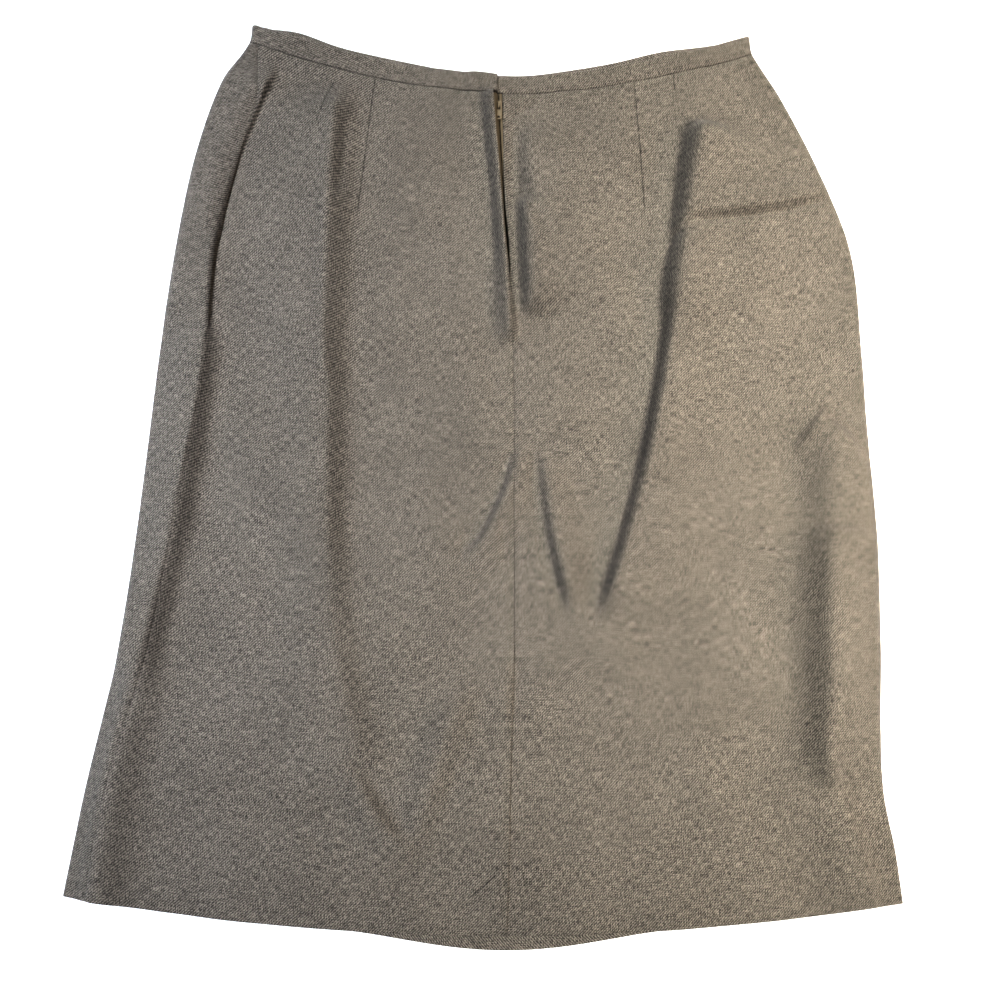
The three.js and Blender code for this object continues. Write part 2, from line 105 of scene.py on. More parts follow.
# One row for each cross-section of the skirt, in mm: its distance down from the waist
# seam, the outline, the sag of its middle, how far in the left side seam shows, the
# centre-back line, and the half-heights of the two folded edges.
SECTION_COLUMNS = ("down", "left", "right", "sag", "seam", "centre", "left_roll", "right_roll")
SECTIONS = (
    (-16, -186, 211, 40, 8, 10, 3.4, 3.4),
    (0, -188, 213, 40, 8, 10.5, 3.6, 3.4),
    (36, -208, 233, 37, 28, 12, 5.5, 3.2),
    (95, -225, 259, 33, 32, 15, 6.5, 3.2),
    (166, -236, 282, 28, 31, 20, 6.5, 3.2),
    (256, -245, 286, 23, 34, 22.5, 6.5, 3.2),
    (328, -250, 287, 20, 33, 22.5, 6.5, 3.6),
    (394, -255, 289, 18, 29, 22.5, 6, 4.5),
    (473, -262, 287, 18, 24, 22, 5.5, 4.5),
    (529, -272, 283.5, 20, 20, 20, 5, 4.5),
    (577, -281, 283.5, 22, 18, 19, 4.5, 4),
    (615, -287, 289, 23, 18, 18, 4, 3.8),
    (651.5, -292.5, 292.5, 24, 18, 16.5, 3.6, 3.6),
)
HEM_DOWN = SECTIONS[-1][0]

# One row for each fold, in mm: it runs from (x0, y0) to (x1, y1), bowed sideways by bow,
# and rises by height, falling away over left and right on its two sides. A fold that
# runs down the skirt has its left side on the side of -X. The solids' folds are nearly
# these, some of them lower, gentler or a little to one side.
FOLDS = (
    (-170, 306, -212, 92, -14, 10, 60, 4),
    (-212, 92, -247, -160, 5, 16, 26, 10),
    (-247, -160, -268, -345, -5, 15, 13, 18),
    (-116, 290, -115, -80, -3, 15, 40, 12),
    (-115, -80, -86, -238, -6, 12, 38, 16),
    (-89, -238, -54, -286, -3, 6, 14, 6),
    (-5, 292, 8, 150, 0, -5, 5, 5),
    (9, 292, 20, 96, 2, 4, 9, 6),
    (21, 235, 26, 112, 0, -6, 5, 6),
    (38, 262, 40, 116, 0, 9, 15, 50),
    (18, -4, -16, -72, 3, -6, 4, 5),
    (26, -4, -6, -76, 3, 7, 6, 14),
    (39, -8, 57, -112, -3, -6, 5, 5),
    (44, -8, 63, -108, -3, 9, 6, 18),
    (152, 262, 130, 108, -2, -9, 16, 8),
    (134, 108, 82, -112, 5, -8, 14, 5),
    (172, 262, 145, 108, -2, 14, 14, 55),
    (145, 108, 91, -112, 5, 14, 9, 50),
    (108, 157, 170, 186, -3, -5, 9, 4),
    (168, 187, 258, 208, -3, 6, 4, 18),
    (262, 22, 246, -222, -2, 15, 22, 34),
    (236, -212, 268, -320, 2, 9, 30, 9),
    (-12, -172, -48, -282, -4, 7, 12, 12),
    (17, -170, 14, -330, 0, 3, 18, 22),
)

# Finer creases of the cloth, in the same columns
CREASES = (
    (5.5, 290, 21, 90, 0, 8, 9, 3),
    (172, 262, 145, 108, -2, 7, 12, 20),
    (145, 108, 119, -20, 3, 4, 9, 20),
    (-116, 280, -119, 60, -3, 3, 7, 4),
    (34, 200, 36, 112, 0, 7, 9, 20),
    (252, -60, 244, -240, 0, 7, 12, 30),
    (-177, 290, -207, 170, -6, -4, 6, 7),
    (256, 29, 282, -8, 4, -3, 3, 6),
    (256, 34, 234, 3, 0, 3, 3, 6),
    (27, 26, 46, 19, 0, 1.2, 3, 4),
    (13, -49, 17, -83, 0, -1.5, 3, 5),
    (-157, -262, -111, -284, 4, -3, 5, 8),
    (-235, -288, -225, -311, 0, -2, 5, 6),
    (-91, -223, -55, -273, 0, -3, 8, 8),
    (-16, -232, -28, -256, 0, -3, 8, 8),
    (43, 287, 24, 274, 0, -2.5, 4, 4),
    (199, 311, 215, 291, 0, -2, 4, 5),
    (172, 309, 187, 317, 0, -1.5, 3, 4),
    (5, 61, 9, 50, 0, -2.5, 3, 3),
    (-106, -9, -44, 0, -6, -1.5, 6, 9),
    (24, -155, 22, -196, 0, -3, 5, 8),
    (69, 155, 112, 158, 0, -2, 6, 6),
    (165, 181, 262, 203, -3, -4, 3, 3),
    (25, 262, 48, 172, -8, -3, 5, 7),
    (-108, 262, -112, 205, 0, -3, 3, 4),
)

# How far the cloth leans sideways over a crease, in the same columns
LEANS = (
    (-170, 306, -212, 92, -14, 3, 14, 5),
    (-212, 92, -231, -30, 3, 3, 10, 5),
)

# Short seams of the two back panels, each from (x0, y0) to (x1, y1) in mm: the darts, and
# the mitred corner of the left panel's vent
LEFT_SEAMS = ((-87, 306, -98, 192), (-119, 303, -127, 272), (10, -302, -9, -318))
RIGHT_SEAMS = ((118, 300, 124, 197), (149, 308, 150, 293))
SEAM_ATTRIBUTES = ("seam_distance", "seam_fade")
SEAM_END = 8.0
MOST_SEAMS = 3
GROOVE_WIDTH = 0.55
SEAM_SINK = 0.8
SEAM_SINK_WIDTH = 2.2
HEM_TURN = 1.1
HEM_TURN_LENGTH = 2.0

# Small rounded edges, in mm or as a share of a sheet's thickness, with the least angle in
# degrees that they round
CASTING_ROUNDING = 0.15
CASTING_ROUNDED_ANGLE = 40
CLOTH_ROUNDING = 0.3
CLOTH_ROUNDED_ANGLE = 70
ROUNDING_STEPS = 2
BAND_CORNER = 0.5

# Slight waviness of cloth that was never pressed flat
WAVES = 26
WAVE_LENGTHS = (34.0, 150.0)
WAVE_STEEPNESS = 0.004
WAVE_SEED = 11

# The zip tapes' lips on the two sides of the slit, in mm
ZIP_SLIT_HALF = 0.2
ZIP_SLIT_WIDTH = 0.7
ZIP_DIVE = 1.0
ZIP_LIP = 0.8
ZIP_LIP_PLACE = 1.8
ZIP_LIP_WIDTH = 1.2
ZIP_LOWEST = 2.2

# Fineness of the sheets: mm between rows, and points across each stretch of a row
ROW_STEP = 2.0
EDGE_STEPS = 9
FLOOR_EDGE_STEPS = 7
FLOOR_STEPS = 64
WRAP_STEPS = 14
LEFT_BODY_STEPS = 118
LEFT_BODY_CROWDING = 1.12
LEFT_LAP_STEPS = 11
RIGHT_BODY_STEPS = 112
RIGHT_LAP_STEPS = 16
BAND_ROWS = 9
BAND_FOLD_STEPS = 7
BAND_STEPS = 110
BAND_FLOOR_STEPS = 60
TAPE_STEPS = 26

# Column of each sheet's rows that lies on its grain line
FRONT_GRAIN_COLUMN = 38
BAND_GRAIN_COLUMN = 55

# The twill's unevenness, one row each for warp yarns, weft yarns, thick slubs, flecks and
# broad clouds: patch sizes across and down in mm, and an offset that parts the patterns
TWILL_YARNS = (
    (0.7, 5.0, 3.1),
    (7.0, 0.7, 7.7),
    (24.0, 1.2, 17.3),
    (0.7, 0.7, 12.9),
    (50.0, 50.0, 21.3),
)
# Weights in the colour, of ribs, warp, weft, slubs, flecks, clouds and seams
TWILL_TONES = (0.3, 0.65, 0.45, 0.12, 0.75, 0.08, -0.2)
# Weights in the relief, of ribs, warp, weft, flecks and seams
TWILL_HEIGHTS = (0.5, 0.6, 0.6, 0.6, -1.5)
TWILL_RELIEF = 0.3
# Radians that a wave texture turns through for each unit of its scale and of x + y
WAVE_RATE = 10
TAPE_RELIEF = 0.1
DARK_TONE = 0.12
LIGHT_TONE = 0.88

# Studio, in metres. The camera looks down at the skirt from its hem side.
CAMERA_AIM = (0.012, -0.03475, 0.004)
CAMERA_DISTANCE = 1.0
CAMERA_ELEVATION = 78.0
SENSOR_WIDTH = 36.0
LENS = 48.64
FLOOR_SIZE = 12.0
FLOOR_Z = -0.0002
AMBIENT_COLOUR = "#FFFFFF"
AMBIENT_STRENGTH = 0.035
CONTRAST_GAMMA = 0.6

# One row for each light: its name, place and aim, its length from hem to waist and its
# width, the angle in degrees that it spreads over, its power in watts and its colour
LIGHTS = (
    ("left_softbox", (-0.6, 0.02, 1.6), (-0.26, 0.02, 0), 1.0, 0.15, 32, 3.2, "#F0F5FE"),
    ("right_softbox", (0.6, 0.02, 1.6), (0.26, 0.02, 0), 1.0, 0.15, 32, 4.2, "#FCFBF6"),
    ("ceiling", (0, 0, 3.0), (0, 0, 0), 3.0, 3.0, 180, 12.0, "#FFFFFF"),
    ("cool_fill", (-0.9, 0.1, 0.5), (-0.05, 0, 0), 0.4, 0.4, 180, 0.6, "#9CC0FF"),
    ("warm_fill", (0.9, 0.0, 0.5), (0.05, 0, 0), 0.4, 0.4, 180, 1.1, "#FFB870"),
)


def lerp(a, b, t):
    return a + (b - a) * t


def smooth_step(t):
    c = np.clip(t, 0.0, 1.0)
    return c * c * (3 - 2 * c)


def section_value(column, down):
    """A column of the section table at distances down, on a cubic Hermite curve through
    its rows whose slope at a row is that of the chord between its two neighbours."""
    table = np.array(SECTIONS, float)
    at = table[:, 0]
    value = table[:, SECTION_COLUMNS.index(column)]
    last = len(at) - 1
    k = np.arange(last + 1)
    before, after = np.maximum(k - 1, 0), np.minimum(k + 1, last)
    slope = (value[after] - value[before]) / (at[after] - at[before])
    down = np.asarray(down, float)
    i = np.clip(np.searchsorted(at, down) - 1, 0, last - 1)
    span = at[i + 1] - at[i]
    t = np.clip((down - at[i]) / span, 0.0, 1.0)
    t2, t3 = t * t, t * t * t
    return (
        (2 * t3 - 3 * t2 + 1) * value[i]
        + (t3 - 2 * t2 + t) * span * slope[i]
        + (3 * t2 - 2 * t3) * value[i + 1]
        + (t3 - t2) * span * slope[i + 1]
    )


def fold_height(fold, x, y, fade):
    """Height that one fold adds: height * exp(-(distance / width) ** 2) across its arc,
    where the arc is a parabola over its chord, times a smooth fade about its two ends."""
    x0, y0, x1, y1, bow, height, left, right = fold
    dx, dy = x1 - x0, y1 - y0
    length = math.hypot(dx, dy)
    along = ((x - x0) * dx + (y - y0) * dy) / length
    side = (-(x - x0) * dy + (y - y0) * dx) / length
    s = np.clip(along / length, 0.0, 1.0)
    across = side - bow * 4 * s * (1 - s)
    width = np.where(across < 0, left, right)
    ends = smooth_step(0.5 + along / fade) * smooth_step(0.5 + (length - along) / fade)
    return height * np.exp(-((across / width) ** 2)) * ends


def waviness(x, y):
    """Sum of sine waves of random direction and phase, each with the same steepness."""
    random = np.random.default_rng(WAVE_SEED)
    total = np.zeros_like(x)
    for _ in range(WAVES):
        length = random.uniform(*WAVE_LENGTHS)
        angle, phase = random.uniform(0, 2 * math.pi, 2)
        run = x * math.cos(angle) + y * math.sin(angle)
        total += WAVE_STEEPNESS * length * np.sin(2 * math.pi * run / length + phase)
    return total


def cloth_height(x, y):
    """Height of the upper cloth: folds, creases and waviness over a slack rest height,
    with troughs bottoming out softly as (h + sqrt(h * h + s * s)) / 2."""
    height = SLACK + waviness(x, y)
    for fold in FOLDS:
        height = height + fold_height(fold, x, y, FOLD_FADE)
    for crease in CREASES:
        height = height + fold_height(crease, x, y, CREASE_FADE)
    return REST_HEIGHT + (height + np.hypot(height, TROUGH_SOFTNESS)) / 2


def lean(x, y):
    """How far the cloth at a place is pushed sideways, towards the right."""
    return sum(fold_height(row, x, y, FOLD_FADE) for row in LEANS)


def row_y(down, x, front=False):
    """Y of a cross-section at x: straight between its ends, less a sag of the power law
    1 - |2a - 1| ** p across the skirt, and less the front hem's own drop."""
    left, right = section_value("left", down), section_value("right", down)
    to_hem = np.maximum(down, 0.0) / HEM_DOWN
    waist_power = FRONT_WAIST_SAG_POWER if front else WAIST_SAG_POWER
    power = lerp(waist_power, HEM_SAG_POWER, smooth_step(to_hem * 2))
    across = np.abs(2 * (x - left) / (right - left) - 1)
    shape = 1 - across**power
    tilt = lerp(WAIST_TILT, HEM_TILT, to_hem)
    y = WAIST_Y - down - tilt * x - section_value("sag", down) * shape
    if front:
        at_waist = 1 - smooth_step(down / PEEK_LENGTH)
        for place, height, width in FRONT_PEEKS:
            y = y + height * np.exp(-(((x - place) / width) ** 2)) * at_waist
        t = np.minimum(1.0, np.abs(x - section_value("centre", down)) / FRONT_HEM_DROP_HALF_WIDTH)
        y = y - FRONT_HEM_DROP * smooth_step(to_hem * 2 - 1) * (1 - t * t) ** 2
    return y


def seam_sink(down, x):
    """Depth of the ditch along the left side seam, the closed centre-back seam and the
    band's seam: sink * exp(-(distance / width) ** 2) for each."""
    side = np.exp(-(((x - left_seam_x(down)) / SEAM_SINK_WIDTH) ** 2))
    centre = np.exp(-(((x - section_value("centre", down)) / SEAM_SINK_WIDTH) ** 2))
    band = np.exp(-((down / SEAM_SINK_WIDTH) ** 2))
    return SEAM_SINK * np.maximum(np.maximum(side, centre), band)


def upper_points(down, x, drop=0.0):
    """Points of the upper cloth: an elliptic quarter rises from each folded edge's
    half-height to the cloth's own height."""
    left, right = section_value("left", down), section_value("right", down)
    near_left = x - left < right - x
    half = np.where(near_left, section_value("left_roll", down), section_value("right_roll", down))
    radius = half * ROLL_FLATNESS
    inset = np.clip(np.where(near_left, x - left, right - x), 0.0, radius)
    rise = np.sqrt(1 - (1 - inset / radius) ** 2)
    y = row_y(down, x)
    z = half + (cloth_height(x, y) - seam_sink(down, x) - half) * rise - drop
    return np.stack([x + lean(x, y) * rise, y, z], axis=-1)


def roll_x(down, side, angle):
    """x of a folded edge at an angle up from its half-height."""
    radius = section_value(side + "_roll", down) * ROLL_FLATNESS
    inward = 1 if side == "left" else -1
    return section_value(side, down) + inward * radius * (1 - np.cos(angle))


def roll_points(down, side, angle):
    """Points of a folded edge from the floor (a quarter turn down) to half-height (0)."""
    half = section_value(side + "_roll", down)
    x = roll_x(down, side, angle)
    return np.stack([x, row_y(down, x, True), half * (1 + np.sin(angle))], axis=-1)


def edge_points(down, side, angle, drop=0.0):
    """Points of a folded edge from half-height (0) up to the cloth (a quarter turn)."""
    half = section_value(side + "_roll", down)
    x = roll_x(down, side, angle)
    y = row_y(down, x)
    z = half + (cloth_height(x, y) - seam_sink(down, x) - drop - half) * np.sin(angle)
    return np.stack([x + lean(x, y) * np.sin(angle), y, z], axis=-1)


def left_seam_x(down):
    return section_value("left", down) + section_value("seam", down)


def zip_gape(down):
    """Width of the zip opening: it narrows from the top, and gapes again lower down."""
    t = np.clip(down / ZIP_GAPE_LENGTH, 0.0, 1.0)
    return ZIP_GAPE * (1 - t) ** ZIP_GAPE_CURVE + LOW_GAPE * low_gape_shape(down)


def low_gape_shape(down):
    return np.exp(-(((down - LOW_GAPE_DOWN) / LOW_GAPE_LENGTH) ** 2))


def flap_lift(down, x):
    """How far the left panel's end stands up with the waistband's tab above it."""
    past = smooth_step((TAB_REACH - (section_value("centre", down) - x)) / TAB_RISE_LENGTH)
    return TAB_LIFT * past * np.exp(-np.maximum(down, 0.0) / FLAP_LIFT_LENGTH)


def vent_underlap(down):
    return VENT_UNDERLAP * smooth_step((down - (HEM_DOWN - VENT_LENGTH)) / VENT_SLOPE_LENGTH)


def vent_sink(down):
    return smooth_step((down - (HEM_DOWN - VENT_LENGTH)) / VENT_SLOPE_LENGTH + VENT_SINK_LEAD)


def cloth_uv(points, down, grain_column):
    """Cloth coordinates in mm: distance across from the column that lies on the grain
    line, and distance down. A step across is sqrt(dx * dx + e * e), where e is how much
    more than twice dx it rises: the folded edges count in full, and the folds in plan."""
    dx, dz = np.abs(np.diff(points[..., 0], axis=1)), np.abs(np.diff(points[..., 2], axis=1))
    steps = np.hypot(dx, np.maximum(dz - 2 * dx, 0.0))
    across = np.concatenate([np.zeros((len(points), 1)), np.cumsum(steps, axis=1)], axis=1)
    across -= across[:, grain_column : grain_column + 1]
    return np.stack([across, np.broadcast_to(down, across.shape)], axis=-1)


def grid_faces(rows, columns, closed_rows=False):
    """Quads of a grid, whose rows may close on themselves."""
    i = np.arange(rows if closed_rows else rows - 1)[:, None]
    j = np.arange(columns - 1)[None, :]
    below = (i + 1) % rows
    first, second = i * columns + j, below * columns + j
    corners = [first, second, second + 1, first + 1]
    quads = [np.broadcast_to(corner, (i.size, j.size)) for corner in corners]
    return np.stack(quads, axis=-1).reshape(-1, 4)


def mesh_object(name, points, faces, uv, material):
    """An object in metres from points and texture coordinates in mm, one for each point."""
    mesh = bpy.data.meshes.new(name)
    mesh.from_pydata((points.reshape(-1, 3) * MM).tolist(), [], [list(map(int, f)) for f in faces])
    layer = mesh.uv_layers.new(name="UVMap")
    corners = np.empty(len(mesh.loops), int)
    mesh.loops.foreach_get("vertex_index", corners)
    layer.data.foreach_set("uv", (uv.reshape(-1, 2)[corners] * MM).ravel())
    mesh.shade_smooth()
    mesh.materials.append(material)
    piece = bpy.data.objects.new(name, mesh)
    bpy.context.scene.collection.objects.link(piece)
    return piece


def round_edges(piece, width, angle):
    """Rounds the edges that turn by more than an angle in degrees, over a width in mm."""
    rounding = piece.modifiers.new("Soft edges", "BEVEL")
    rounding.width = width * MM
    rounding.segments = ROUNDING_STEPS
    rounding.limit_method = "ANGLE"
    rounding.angle_limit = math.radians(angle)


def thicken(piece, thickness):
    """Gives a sheet its wall, inwards, and rounds the wall's edges."""
    wall = piece.modifiers.new("Wall", "SOLIDIFY")
    wall.thickness = thickness * MM
    wall.offset = -1
    round_edges(piece, thickness * CLOTH_ROUNDING, CLOTH_ROUNDED_ANGLE)
    return piece


def finish_casting(node, material):
    """Gives a small casting its finish and softens its edges."""
    node.data.materials.clear()
    node.data.materials.append(material)
    round_edges(node, CASTING_ROUNDING, CASTING_ROUNDED_ANGLE)


def carry_seams(piece, points, seams):
    """Gives each point its signed distances from up to three short straight seams, in
    metres, and how strongly each seam shows there."""
    x, y = points[..., 0], points[..., 1]
    distance, fade = np.zeros((2, *points.shape))
    for axis, (x0, y0, x1, y1) in enumerate(seams):
        dx, dy = x1 - x0, y1 - y0
        length = math.hypot(dx, dy)
        along = ((x - x0) * dx + (y - y0) * dy) / length
        distance[..., axis] = (-(x - x0) * dy + (y - y0) * dx) / length * MM
        fade[..., axis] = smooth_step(0.5 + along / SEAM_END)
        fade[..., axis] *= smooth_step(0.5 + (length - along) / SEAM_END)
    for name, value in zip(SEAM_ATTRIBUTES, (distance, fade)):
        layer = piece.data.attributes.new(name, "FLOAT_VECTOR", "POINT")
        layer.data.foreach_set("vector", value.reshape(-1))


def declare_cloth(piece):
    """Hands back a laid panel as it is."""
    return piece


def rows_down(start=HALF_GAP, end=HEM_DOWN, step=ROW_STEP):
    return np.linspace(start, end, int((end - start) / step) + 1)[:, None]


def stretch(fractions, start, end):
    """x positions between two columns of x, at fractions of the way."""
    return lerp(start, end, fractions[None, :])


def joined(*parts):
    """Stretches of a section joined end to end, each without the point that it shares."""
    return np.concatenate([parts[0]] + [part[:, 1:] for part in parts[1:]], axis=1)


def floor_half(down, columns):
    """Points from half-height at the right edge, over the floor, to half-height at the left."""
    angles = np.linspace(0, QUARTER_TURN, FLOOR_EDGE_STEPS)[None, :]
    lower = roll_points(down, "right", -angles + 0 * down)
    ends = (roll_x(down, side, QUARTER_TURN) for side in ("right", "left"))
    x = stretch(np.linspace(0, 1, columns), *ends)
    floor = np.stack([x, row_y(down, x, True), np.zeros_like(x)], axis=-1)
    rise = roll_points(down, "left", -angles[:, ::-1] + 0 * down)
    return joined(lower, floor, rise)


def roll_over(down, side, drop=0.0):
    """The upper cloth's folded edge, between half-height and where it has rolled over."""
    angles = np.linspace(0, QUARTER_TURN, EDGE_STEPS)[None, :]
    points = edge_points(down, side, angles + 0 * down, drop)
    return points if side == "left" else points[:, ::-1]


def hem_turn(down):
    """How far the last of the cloth turns down at the hem's folded edge, in mm."""
    return HEM_TURN * np.exp(-(((HEM_DOWN - down) / HEM_TURN_LENGTH) ** 2))


def front_panel(material, thickness):
    down = rows_down()
    start = roll_x(down, "left", QUARTER_TURN)
    wrap_x = stretch(np.linspace(0, 1, WRAP_STEPS), start, left_seam_x(down) - CLOSED_HALF_GAP)
    wrap = upper_points(down, wrap_x, hem_turn(down))
    edge = roll_over(down, "left", hem_turn(down))
    points = joined(floor_half(down, FLOOR_STEPS), edge, wrap)
    points[:, 0, 2] -= HALF_GAP
    uv = cloth_uv(points, down, FRONT_GRAIN_COLUMN)
    piece = mesh_object("front_cloth", points, grid_faces(*points.shape[:2]), uv, material)
    return declare_cloth(thicken(piece, thickness))


def back_left_panel(material, thickness):
    down = rows_down()
    centre = section_value("centre", down)
    start = left_seam_x(down) + CLOSED_HALF_GAP
    end = centre - zip_gape(down) / 2 - CLOSED_HALF_GAP
    body_steps = np.linspace(0, 1, LEFT_BODY_STEPS) ** LEFT_BODY_CROWDING
    body = stretch(body_steps, start, centre - LAP_ZONE)
    lap = stretch(np.linspace(0, 1, LEFT_LAP_STEPS), centre - LAP_ZONE, end)
    x = np.concatenate([body, lap[:, 1:]], axis=1)
    points = upper_points(down, x, hem_turn(down) - flap_lift(down, x))
    uv = cloth_uv(points, down, points.shape[1] - 1)
    piece = mesh_object("back_left_cloth", points, grid_faces(*points.shape[:2]), uv, material)
    carry_seams(piece, points, LEFT_SEAMS)
    return declare_cloth(thicken(piece, thickness))


def back_right_panel(material, thickness):
    down = rows_down()
    centre = section_value("centre", down)
    underlap = vent_underlap(down)
    start = centre + zip_gape(down) / 2 + CLOSED_HALF_GAP - underlap
    lap = stretch(np.linspace(0, 1, RIGHT_LAP_STEPS), start, centre + LAP_ZONE)
    end = roll_x(down, "right", QUARTER_TURN)
    body = stretch(np.linspace(0, 1, RIGHT_BODY_STEPS), centre + LAP_ZONE, end)
    x = np.concatenate([lap, body[:, 1:]], axis=1)
    under_left = 1 - smooth_step((x - centre - SEAM_GAP) / VENT_UNDERLAP)
    drop = LAP_DROP * under_left * vent_sink(down) + hem_turn(down)
    points = joined(upper_points(down, x, drop), roll_over(down, "right", hem_turn(down)))
    points[:, -1, 2] += HALF_GAP
    uv = cloth_uv(points, down, RIGHT_LAP_STEPS - 1)
    piece = mesh_object("back_right_cloth", points, grid_faces(*points.shape[:2]), uv, material)
    carry_seams(piece, points, RIGHT_SEAMS)
    return declare_cloth(thicken(piece, thickness))


def band_profile():
    """Closed outline of the band's section as distances down and depths below its outer
    face: straight sides with a round fold at the top and small round edges below."""
    top, foot = -BAND_HEIGHT, -HALF_GAP
    fold = BAND / 2
    outer = np.linspace(foot - BAND_CORNER, top + fold, BAND_ROWS)
    turn = np.linspace(0, math.pi, BAND_FOLD_STEPS)[1:-1]
    down = [outer, top + fold - fold * np.sin(turn), outer[::-1], [foot, foot]]
    depth = [
        np.zeros(BAND_ROWS),
        fold - fold * np.cos(turn),
        np.full(BAND_ROWS, BAND),
        [BAND - BAND_CORNER, BAND_CORNER],
    ]
    return np.concatenate(down), np.concatenate(depth)


def band_skin(down):
    """Outer face of the waistband: from its right end under the tab, over the right edge,
    the floor and the left edge, to the tab's end."""
    centre = section_value("centre", down)
    right_end = roll_x(down, "right", QUARTER_TURN)
    left_end = roll_x(down, "left", QUARTER_TURN)
    steps = np.linspace(0, 1, BAND_STEPS)
    right = upper_points(down, stretch(steps, centre - TAB_OVERLAP, right_end))
    left_x = stretch(steps, left_end, centre)
    lift = -TAB_LIFT * smooth_step((TAB_REACH - (centre - left_x)) / TAB_RISE_LENGTH)
    left = upper_points(down, left_x, lift)
    right_edge, left_edge = (roll_over(down, side) for side in ("right", "left"))
    return joined(right, right_edge, floor_half(down, BAND_FLOOR_STEPS), left_edge, left)


def waistband(material):
    """The waistband as one closed strip, with its right and left ends capped."""
    down, depth = band_profile()
    down, depth = down[::-1, None], depth[::-1, None, None]
    skin = band_skin(down)
    points = skin - band_normals(skin, down) * depth
    rows, columns = points.shape[:2]
    faces = grid_faces(rows, columns, closed_rows=True).tolist()
    faces.append([i * columns for i in reversed(range(rows))])
    faces.append([i * columns + columns - 1 for i in range(rows)])
    uv = cloth_uv(points, down, BAND_GRAIN_COLUMN)
    piece = mesh_object("waistband_cloth", points, faces, uv, material)
    return piece


def band_normals(skin, down):
    """Outward normals of the band's skin, the same for every distance down it."""
    top = skin[np.argmin(down)]
    foot = skin[np.argmax(down)]
    across = np.gradient((top + foot) / 2, axis=0)
    normal = np.cross(foot - top, across)
    return (normal / np.linalg.norm(normal, axis=-1, keepdims=True))[None]


def zip_tapes(material):
    """The closed zip's two tapes: each lies under its panel and rolls down at the slit
    where the two meet, as z = lip * exp(-(d / w) ** 2) - dive * exp(-(d / v) ** 2)."""
    down = rows_down(HALF_GAP, ZIP_LENGTH)
    half = ZIP_TAPE_WIDTH / 2
    tapes = []
    for side in (-1, 1):
        away = np.linspace(ZIP_SLIT_HALF, half, TAPE_STEPS)[None, :]
        x = section_value("centre", down) + side * away
        lip = ZIP_LIP * np.exp(-(((away - ZIP_LIP_PLACE) / ZIP_LIP_WIDTH) ** 2))
        dive = ZIP_DIVE * np.exp(-((away / ZIP_SLIT_WIDTH) ** 2))
        sunk = LOW_GAPE_DEPTH * low_gape_shape(down)
        points = upper_points(down, x, CLOTH + ZIP_TAPE_GAP - lip + dive + sunk)
        points[..., 2] = np.maximum(points[..., 2], ZIP_LOWEST)
        tapes.append(points if side > 0 else points[:, ::-1])
    rows, columns = tapes[0].shape[:2]
    faces = grid_faces(rows, columns)
    points = np.concatenate([tape.reshape(-1, 3) for tape in tapes])
    faces = np.concatenate([faces, faces + rows * columns])
    uv = np.concatenate([cloth_uv(tape, down, 0).reshape(-1, 2) for tape in tapes])
    piece = mesh_object("zip_tapes", points, faces, uv, material)
    return thicken(piece, ZIP_TAPE)


# Materials


def linear(srgb_hex):
    """Linear red, green and blue of an sRGB hex value."""
    value = [int(srgb_hex[i : i + 2], 16) / 255 for i in (1, 3, 5)]
    return tuple(v / 12.92 if v <= 0.04045 else ((v + 0.055) / 1.055) ** 2.4 for v in value)


def add_node(tree, kind, settings=None, inputs=None):
    """Adds a node with its settings, and with inputs that are values or other nodes' sockets."""
    node = tree.nodes.new("ShaderNode" + kind)
    for name, value in (settings or {}).items():
        setattr(node, name, value)
    for name, value in (inputs or {}).items():
        if isinstance(value, bpy.types.NodeSocket):
            tree.links.new(value, node.inputs[name])
        else:
            node.inputs[name].default_value = value
    return node


def new_material(name):
    """A material of that name with nothing but its shader and output."""
    material = bpy.data.materials.new(name)
    material.use_nodes = True
    tree = material.node_tree
    return material, tree, tree.nodes["Principled BSDF"]


def thread_noise(tree, uv, across, along, seed):
    """Noise of threads: patches of these sizes in mm across and down the cloth."""
    place = add_node(
        tree,
        "Mapping",
        inputs={
            "Vector": uv,
            "Location": (seed, seed, 0),
            "Scale": (1 / (across * MM), 1 / (along * MM), 1),
        },
    )
    noise = add_node(
        tree,
        "TexNoise",
        {"noise_dimensions": "2D"},
        {"Vector": place.outputs[0], "Scale": 1.0, "Detail": 1.5, "Roughness": 0.6},
    )
    return noise.outputs[0]


def arithmetic(tree, operation, *inputs):
    """The result of one sum of values or of other nodes' sockets."""
    node = add_node(tree, "Math", {"operation": operation}, dict(enumerate(inputs)))
    return node.outputs[0]


def weigh(tree, factors):
    """Sum of weight * (factor - 0.5) over the factors, about a middle of 0.5."""
    total = None
    for factor, weight in factors:
        share = arithmetic(tree, "MULTIPLY_ADD", factor, weight, -weight / 2)
        total = share if total is None else arithmetic(tree, "ADD", total, share)
    return arithmetic(tree, "ADD", total, 0.5)


def twill_weave(tree, uv, pitch):
    """Fine diagonal ribs that rise to the right, pitch mm apart."""
    return add_node(
        tree,
        "TexWave",
        {"bands_direction": "DIAGONAL", "wave_profile": "SIN"},
        {
            "Vector": uv,
            "Scale": 2 * math.pi / WAVE_RATE / (pitch * math.sqrt(2) * MM),
            "Distortion": 0.5,
            "Detail": 2.0,
            "Detail Scale": 1.0,
        },
    ).outputs["Fac"]


